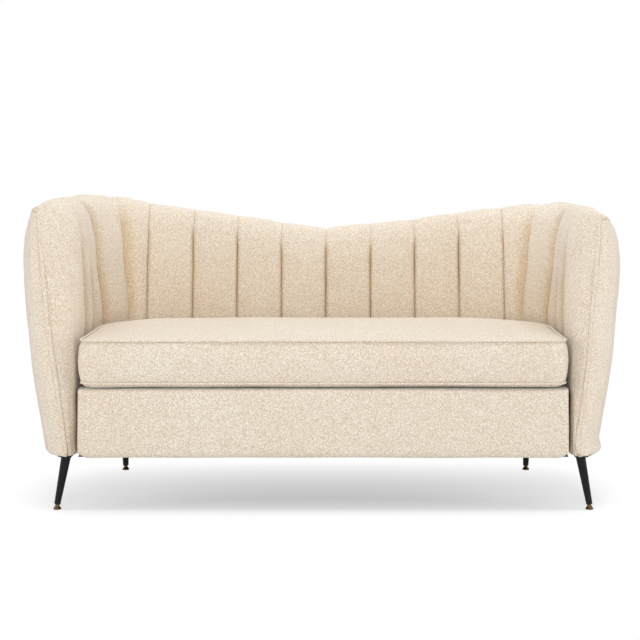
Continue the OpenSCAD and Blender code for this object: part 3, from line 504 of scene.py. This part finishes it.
cream_boucle = boucle()
FINISHES = {
    "boucle": cream_boucle,
    "platform_cloth": plain_cloth("platform_cloth", (0.66, 0.57, 0.45), 0.004),
    "burlap": plain_cloth("burlap", (0.42, 0.32, 0.20), 0.009, 0.6),
    "felt": plain_cloth("felt", (0.52, 0.50, 0.46), 0.003, 0.2),
    "webbing": plain_cloth("webbing", (0.050, 0.045, 0.042), 0.008, 0.5),
    "black_cloth": plain_cloth("black_cloth", (0.014, 0.014, 0.015), 0.004, 0.2),
    "foam": foam(),
    "wood": beech(),
    "black_metal": black_metal(),
    "bronze": bare_metal("bronze", (0.035, 0.022, 0.012), (0.17, 0.105, 0.05), 0.32),
    "zinc": bare_metal("zinc", (0.36, 0.36, 0.37), (0.60, 0.60, 0.61), 0.42),
}


def finish_nodes():
    for part in frame["record"]["subparts"]:
        node = frame["nodes"][part["node"]]
        node.data.materials.clear()
        node.data.materials.append(FINISHES[part["material_slot"]])


# Soft pieces of the shell
def sewn_shares(piece, seams, seam_l, backing, cushion):
    """How firmly each point of a channel is held: fully at its seams, its backing and the cushion."""
    shares = []
    for vertex in piece.data.vertices:
        free = ease((seams.find_nearest(vertex.co)[3] - 0.005) / seam_l)
        free *= ease((backing.find_nearest(vertex.co)[3] - 0.012) / 0.012)
        free *= ease((cushion.find_nearest(vertex.co)[3] - 0.008) / 0.03)
        shares.append(1 - free)
    return shares


def close_grooves(piece, seams, amount, reach, low=None, high=None):
    """Fattens the rolled edges beside the seams, which closes the groove between two pieces."""
    normals = [vertex.normal.copy() for vertex in piece.data.vertices]
    for vertex, normal in zip(piece.data.vertices, normals):
        share = 1 - ease(seams.find_nearest(vertex.co)[3] / reach)
        if low is not None:
            share *= ease((vertex.co.z - low) / (high - low))
        vertex.co += normal * amount * share


def draw_up(piece, seam, low):
    """Draws the edge of the cloth up to the seam beside it, from the height low upwards."""
    for vertex in piece.data.vertices:
        place, normal, face, gap = seam.find_nearest(vertex.co)
        share = (1 - ease(gap / EDGE_REACH)) * ease((vertex.co.z - low) / 0.05)
        vertex.co += (place - vertex.co) * 0.95 * share


def back_channels():
    backing = surface_of(BACKING)
    cushion = surface_of(["seat_cushion_cover"])
    covers = surface_of(COVERS)
    welt = surface_of(["outside_welt"])
    for node in BACK_CHANNELS:
        place = ROUND_THE_TUB.index(node)
        beside = [ROUND_THE_TUB[place - 1], ROUND_THE_TUB[place + 1]]
        neighbours = surface_of(beside)
        seams = surface_of(beside + COVERS)
        pad = copy_of([node], node.replace("channel", "channel_pad"))
        remesh(pad, PAD_VOXEL)
        relax(pad, 4)
        plump(pad, sewn_shares(pad, seams, 0.045, backing, cushion), CHANNEL_PRESSURE, BACK_SWELL)
        relax(pad, 2)
        unevenness(pad, 0.0012, 0.08, place + 1)
        crest = max(vertex.co.z for vertex in pad.data.vertices)
        close_grooves(pad, neighbours, 0.0006, 0.02)
        close_grooves(pad, neighbours, 0.0022, 0.02, crest - 0.085, crest - 0.045)
        close_grooves(pad, covers, 0.0020, 0.015)
        draw_up(pad, welt, 0.5)
        # Painted shade in tan along the seams below the crest, and low in the tub
        shares = []
        for vertex in pad.data.vertices:
            back_seam_shade = 1 - ease((neighbours.find_nearest(vertex.co)[3] - 0.001) / 0.010)
            back_seam_shade *= 1 - ease((vertex.co.z - crest + 0.09) / 0.04)
            shares.append(max(0.8 * back_seam_shade, painted_tub_shade(vertex.co, cushion.find_nearest(vertex.co)[3])))
        paint_crease_shade(pad, shares)
        stuffed_by_hand(pad)
        pad.data.materials.append(cream_boucle)
        hand_over(pad, "shell", [node])


def arm_channels():
    backing = surface_of(BACKING)
    welt = surface_of(["outside_welt"])
    cushion = surface_of(["seat_cushion_cover"])
    covers = surface_of(COVERS)
    for side in SIDES:
        nodes = ARM_CHANNELS[side]
        corner = "back_channel_1" if side == "left" else "back_channel_8"
        channels = [surface_of([node]) for node in [corner] + nodes]
        arm = copy_of(nodes, f"arm_channel_pads_{side}")
        remesh(arm, ARM_VOXEL)
        held, sewn, shaping, painted_crease_shades = [], [], [], []
        for vertex in arm.data.vertices:
            reaches = [channel.find_nearest(vertex.co)[3] for channel in channels]
            to_cover = covers.find_nearest(vertex.co)[3]
            to_cushion = cushion.find_nearest(vertex.co)[3]
            inward, normal, face, to_backing = backing.find_nearest(vertex.co)
            pull, sewn_down, painted_crease_shade = 0.0, 0.0, 0.0
            for number, (deep, top) in enumerate(ARM_SEAMS):
                to_seam = max(reaches[number], reaches[number + 1])
                here = 1 - ease((vertex.co.z - top) / 0.08)
                behind = reaches[number] < reaches[number + 1]
                flank = 1 - min(1.0, to_seam / (FRONT_RISE if behind else REAR_ROLL))
                pull = max(pull, deep * here * (1 - math.sqrt(1 - flank * flank)))
                sewn_down = max(sewn_down, here * (1 - ease((to_seam - 0.005) / 0.04)))
                # Painted shade in tan in the valley at each seam
                arm_seam_shade = here * (1 - ease(to_seam / (0.045 if behind else 0.010)))
                painted_crease_shade = max(painted_crease_shade, arm_seam_shade * (0.4 + 30 * deep))
            clear = ease((to_cushion - 0.008) / 0.03) * ease((vertex.co.z - ARM_BOTTOM - 0.02) / 0.08)
            inner = clear * ease((to_cover - 0.006) / 0.03)
            above_backing = ease((to_backing - 0.008) / 0.03)
            full = 0.004 * (1 - ease(pull / 0.004))
            move = (inward - vertex.co).normalized() * (pull - full) * inner * above_backing
            at_welt = 1 - ease((to_cover - 0.004) / 0.05)
            facing = ease(-vertex.normal.y * 1.5) * ease((vertex.co.z - ARM_BOTTOM) / 0.05)
            move += Vector((0, -NOSE_FILL, 0)) * at_welt * facing
            beside_apron = (1 - ease((vertex.co.z - 0.34) / 0.1)) * ease((-vertex.co.y - 0.27) / 0.04)
            move += Vector((0, -FOOT_FILL, 0)) * beside_apron * (1 - at_welt) * ease(-vertex.normal.y * 3)
            shaping.append(move)
            # Painted shade in tan beside the welt and low in the tub
            at_welt = 1 - ease((welt.find_nearest(vertex.co)[3] - 0.004) / 0.006)
            painted_crease_shades.append(max(painted_crease_shade, 0.9 * at_welt, painted_tub_shade(vertex.co, to_cushion)))
            sewn.append(1 - (1 - sewn_down) * inner * ease((to_backing - 0.012) / 0.012))
            held.append(1 - ease((vertex.co.z - ARM_BOTTOM - 0.01) / 0.03) * ease((to_cover - 0.004) / 0.02))
        relax(arm, 2, held)
        plump(arm, sewn, CHANNEL_PRESSURE, ARM_SWELL)
        for vertex, move in zip(arm.data.vertices, shaping):
            vertex.co += move
        relax(arm, 2, held)
        unevenness(arm, 0.0012, 0.08, 20 + len(side))
        close_grooves(arm, covers, 0.0015, 0.015)
        close_grooves(arm, welt, 0.0015, 0.02, 0.62, 0.67)
        draw_up(arm, welt, 0.62)
        close_grooves(arm, channels[0], 0.0006, 0.02)
        paint_crease_shade(arm, painted_crease_shades)
        stuffed_by_hand(arm)
        arm.data.materials.append(cream_boucle)
        hand_over(arm, "shell", nodes)


def outside_covers():
    welt = surface_of(["outside_welt"])
    for number, node in enumerate(COVERS):
        cover = copy_of([node], node + "_cover")
        remesh(cover, PAD_VOXEL)
        held = []
        for vertex in cover.data.vertices:
            free = ease((welt.find_nearest(vertex.co)[3] - 0.012) / 0.03)
            held.append(1 - free * ease((vertex.co.z - ARM_BOTTOM - 0.01) / 0.03))
        relax(cover, 8, held)
        unevenness(cover, 0.002, 0.15, 40 + number)
        close_grooves(cover, welt, 0.0015, 0.02)
        close_grooves(cover, welt, 0.0015, 0.02, 0.62, 0.67)
        draw_up(cover, welt, 0.58)
        close_grooves(cover, surface_of([other for other in COVERS if other != node]), 0.0012, 0.012)
        # Painted shade in tan beside the welt
        paint_crease_shade(cover, [0.9 * (1 - ease((welt.find_nearest(vertex.co)[3] - 0.002) / 0.006))
                             for vertex in cover.data.vertices])
        stuffed_by_hand(cover)
        cover.data.materials.append(cream_boucle)
        hand_over(cover, "shell", [node])


def apron_panel():
    panel = copy_of(["apron"], "apron_panel")
    remesh(panel, APRON_VOXEL)
    relax(panel, 2)
    painted_crease_shades = []
    for vertex in panel.data.vertices:
        # Painted shade in tan on the ends beside the arms, where the gap is
        painted_crease_shades.append(0.9 * ease((abs(vertex.co.x) - 0.613) / 0.004))
        # The ends turn back beside the arms and all but touch them there
        out = math.copysign(0.005 * ease((vertex.co.y + 0.364) / 0.006), vertex.co.x)
        if abs(vertex.co.x) > 0.607:
            vertex.co.x += out
            if vertex.co.y > -0.357:
                vertex.co.y += 0.045
        vertex.co.x *= 1.0035
    paint_crease_shade(panel, painted_crease_shades)
    unevenness(panel, 0.0015, 0.2, 5)
    panel.data.materials.append(cream_boucle)
    hand_over(panel, "shell", ["apron"])


def deck():
    """The felt deck, which sags a little between the rails and shows when the cushion is up."""
    felt = copy_of(["deck_pad"], "deck_felt")
    remesh(felt, DECK_VOXEL)
    relax(felt, 2)
    low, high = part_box("deck_pad")
    for vertex in felt.data.vertices:
        x, y, z = vertex.co
        inwards = min(x - low[0], high[0] - x, y - low[1], high[1] - y)
        vertex.co.z -= DECK_SAG * ease((inwards - 0.03) / 0.12)
    unevenness(felt, 0.0012, 0.09, 9)
    felt.data.materials.append(FINISHES["felt"])
    hand_over(felt, "shell", ["deck_pad"])


def welt_cord(node, name, body, bed, sunk, swell, crest_sunk=0.0):
    """A welt cord, rounded and pressed into the seam that it covers."""
    cord = copy_of([node], name)
    nearby = kdtree.KDTree(len(cord.data.vertices))
    pulls = []
    for number, vertex in enumerate(cord.data.vertices):
        nearby.insert(vertex.co, number)
        pulls.append(bed.find_nearest(vertex.co)[0] - vertex.co)
    nearby.balance()
    moves = []
    for vertex in cord.data.vertices:
        pull = Vector()
        for place, number, distance in nearby.find_range(vertex.co, 0.0095):
            pull += pulls[number]
        moves.append(pull.normalized() * (sunk + crest_sunk * ease((vertex.co.z - 0.66) / 0.06)))
    for vertex, move in zip(cord.data.vertices, moves):
        vertex.co += move
        if body == "cushion":
            vertex.co.x *= CUSHION_PLAY
    edit(cord)
    bpy.ops.mesh.tris_convert_to_quads(face_threshold=math.radians(80), shape_threshold=math.radians(80))
    bpy.ops.object.mode_set(mode="OBJECT")
    rounded = cord.modifiers.new("rounded", "SUBSURF")
    rounded.levels = 2
    rounded.render_levels = 2
    apply_all(cord)
    edit(cord)
    bpy.ops.transform.shrink_fatten(value=swell)
    bpy.ops.object.mode_set(mode="OBJECT")
    if body == "shell":
        stuffed_by_hand(cord)
    cord.data.materials.append(cream_boucle)
    hand_over(cord, body, [node])


# Seat cushion
def seat_cushion():
    nodes = ["seat_cushion_cover", "seat_cushion_underside", "seat_cushion_core"]
    cushion = copy_of(nodes, "seat_cushion")
    remesh(cushion, CUSHION_VOXEL)
    relax(cushion, 3)
    welts = surface_of(["cushion_welt_top", "cushion_welt_bottom"])
    around = surface_of(ROUND_THE_TUB)
    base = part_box("seat_cushion_cover")[0][2]
    sewn = []
    for vertex in cushion.data.vertices:
        free = ease((welts.find_nearest(vertex.co)[3] - 0.006) / 0.07)
        free *= ease((around.find_nearest(vertex.co)[3] - 0.010) / 0.03)
        free *= ease((vertex.co.z - base - 0.004) / 0.02)
        sewn.append(1 - free)
    plump(cushion, sewn, CUSHION_PRESSURE, CUSHION_SWELL)
    for vertex in cushion.data.vertices:
        vertex.co.x *= CUSHION_PLAY
    smoother = cushion.modifiers.new("smoother", "SUBSURF")
    smoother.levels = 1
    smoother.render_levels = 1
    apply_all(cushion)
    unevenness(cushion, 0.0025, 0.22, 3)
    # Painted shade in tan along the welts
    paint_crease_shade(cushion, [0.5 * (1 - ease((welts.find_nearest(vertex.co)[3] - 0.001) / 0.004))
                           for vertex in cushion.data.vertices])
    cushion.data.materials.append(cream_boucle)
    hand_over(cushion, "cushion", nodes)


# Floor, backdrop and light
def camera_sees(tree):
    """1 for what the camera sees, straight or in metal, and 0 for what lights the scene."""
    path = tree.nodes.new("ShaderNodeLightPath")
    seen = path.outputs["Is Camera Ray"]
    for ray in ("Is Glossy Ray", "Is Transmission Ray"):
        either = tree.nodes.new("ShaderNodeMath")
        either.operation = "MAXIMUM"
        tree.links.new(seen, either.inputs[0])
        tree.links.new(path.outputs[ray], either.inputs[1])
        seen = either.outputs[0]
    return seen


def pale_floor():
    bpy.ops.mesh.primitive_plane_add(size=24, location=(0, 0, 0))
    floor = bpy.context.object
    floor.name = "floor"
    finish = Finish("pale_floor")
    tree = finish.tree
    finish.shine(Roughness=0.9, Specular_IOR_Level=0.0)
    grit = finish.spread(finish.noise(0.02, 3.0), 0.3, 0.7)
    shade = finish.mix(grit, (0.84, 0.84, 0.84), (0.86, 0.86, 0.86))
    finish.set(finish.shader.inputs["Base Color"], shade)
    seen = camera_sees(tree)
    glow = tree.nodes.new("ShaderNodeEmission")
    glow.inputs["Strength"].default_value = FLOOR_GLOW
    lit = tree.nodes.new("ShaderNodeAddShader")
    tree.links.new(finish.shader.outputs["BSDF"], lit.inputs[0])
    tree.links.new(glow.outputs["Emission"], lit.inputs[1])
    near = tree.nodes.new("ShaderNodeMixShader")
    tree.links.new(seen, near.inputs["Fac"])
    tree.links.new(finish.shader.outputs["BSDF"], near.inputs[1])
    tree.links.new(lit.outputs[0], near.inputs[2])
    across, along, up = finish.add("SeparateXYZ", Vector=finish.place).outputs
    # The floor fades to the white backdrop over an oval round the legs
    across = finish.maths("MULTIPLY", across, 0.42)
    along = finish.maths("ADD", along, 0.38)
    squares = [finish.maths("MULTIPLY", value, value) for value in (across, along)]
    away = finish.spread(finish.maths("SQRT", finish.maths("ADD", *squares)), 0.20, 0.75)
    backdrop = tree.nodes.new("ShaderNodeEmission")
    far = tree.nodes.new("ShaderNodeMixShader")
    tree.links.new(finish.maths("MULTIPLY", away, seen), far.inputs["Fac"])
    tree.links.new(near.outputs[0], far.inputs[1])
    tree.links.new(backdrop.outputs["Emission"], far.inputs[2])
    tree.links.new(far.outputs[0], tree.nodes["Material Output"].inputs["Surface"])
    floor.data.materials.append(finish.material)


def studio_light():
    world = bpy.data.worlds.new("studio")
    bpy.context.scene.world = world
    world.use_nodes = True
    tree = world.node_tree
    room = tree.nodes["Background"]
    room.inputs["Color"].default_value = (0.97, 0.99, 1.04, 1)
    room.inputs["Strength"].default_value = ROOM_LIGHT
    backdrop = tree.nodes.new("ShaderNodeBackground")
    backdrop.inputs["Color"].default_value = (1, 1, 1, 1)
    choice = tree.nodes.new("ShaderNodeMixShader")
    tree.links.new(camera_sees(tree), choice.inputs["Fac"])
    tree.links.new(room.outputs["Background"], choice.inputs[1])
    tree.links.new(backdrop.outputs["Background"], choice.inputs[2])
    tree.links.new(choice.outputs[0], tree.nodes["World Output"].inputs["Surface"])
    for name, place, aim, size, power in SOFTBOXES:
        data = bpy.data.lights.new(name, "AREA")
        data.shape = "RECTANGLE"
        data.size, data.size_y = size
        data.energy = power
        lamp = bpy.data.objects.new(name, data)
        lamp.location = place
        lamp.rotation_euler = (Vector(aim) - Vector(place)).to_track_quat("-Z", "Y").to_euler()
        bpy.context.scene.collection.objects.link(lamp)



set_camera()
finish_nodes()
back_channels()
arm_channels()
outside_covers()
apron_panel()
deck()
shell_bed = surface_of(ROUND_THE_TUB + COVERS)
welt_cord("outside_welt", "outside_welt_cord", "shell", shell_bed, 0.0024, 0.0018, 0.0030)
seat_cushion()
cushion_bed = surface_of(["seat_cushion_cover"])
welt_cord("cushion_welt_top", "cushion_welt_cord_top", "cushion", cushion_bed, 0.0035, -0.0004)
welt_cord("cushion_welt_bottom", "cushion_welt_cord_bottom", "cushion", cushion_bed, 0.0040, -0.0006)
pale_floor()
studio_light()
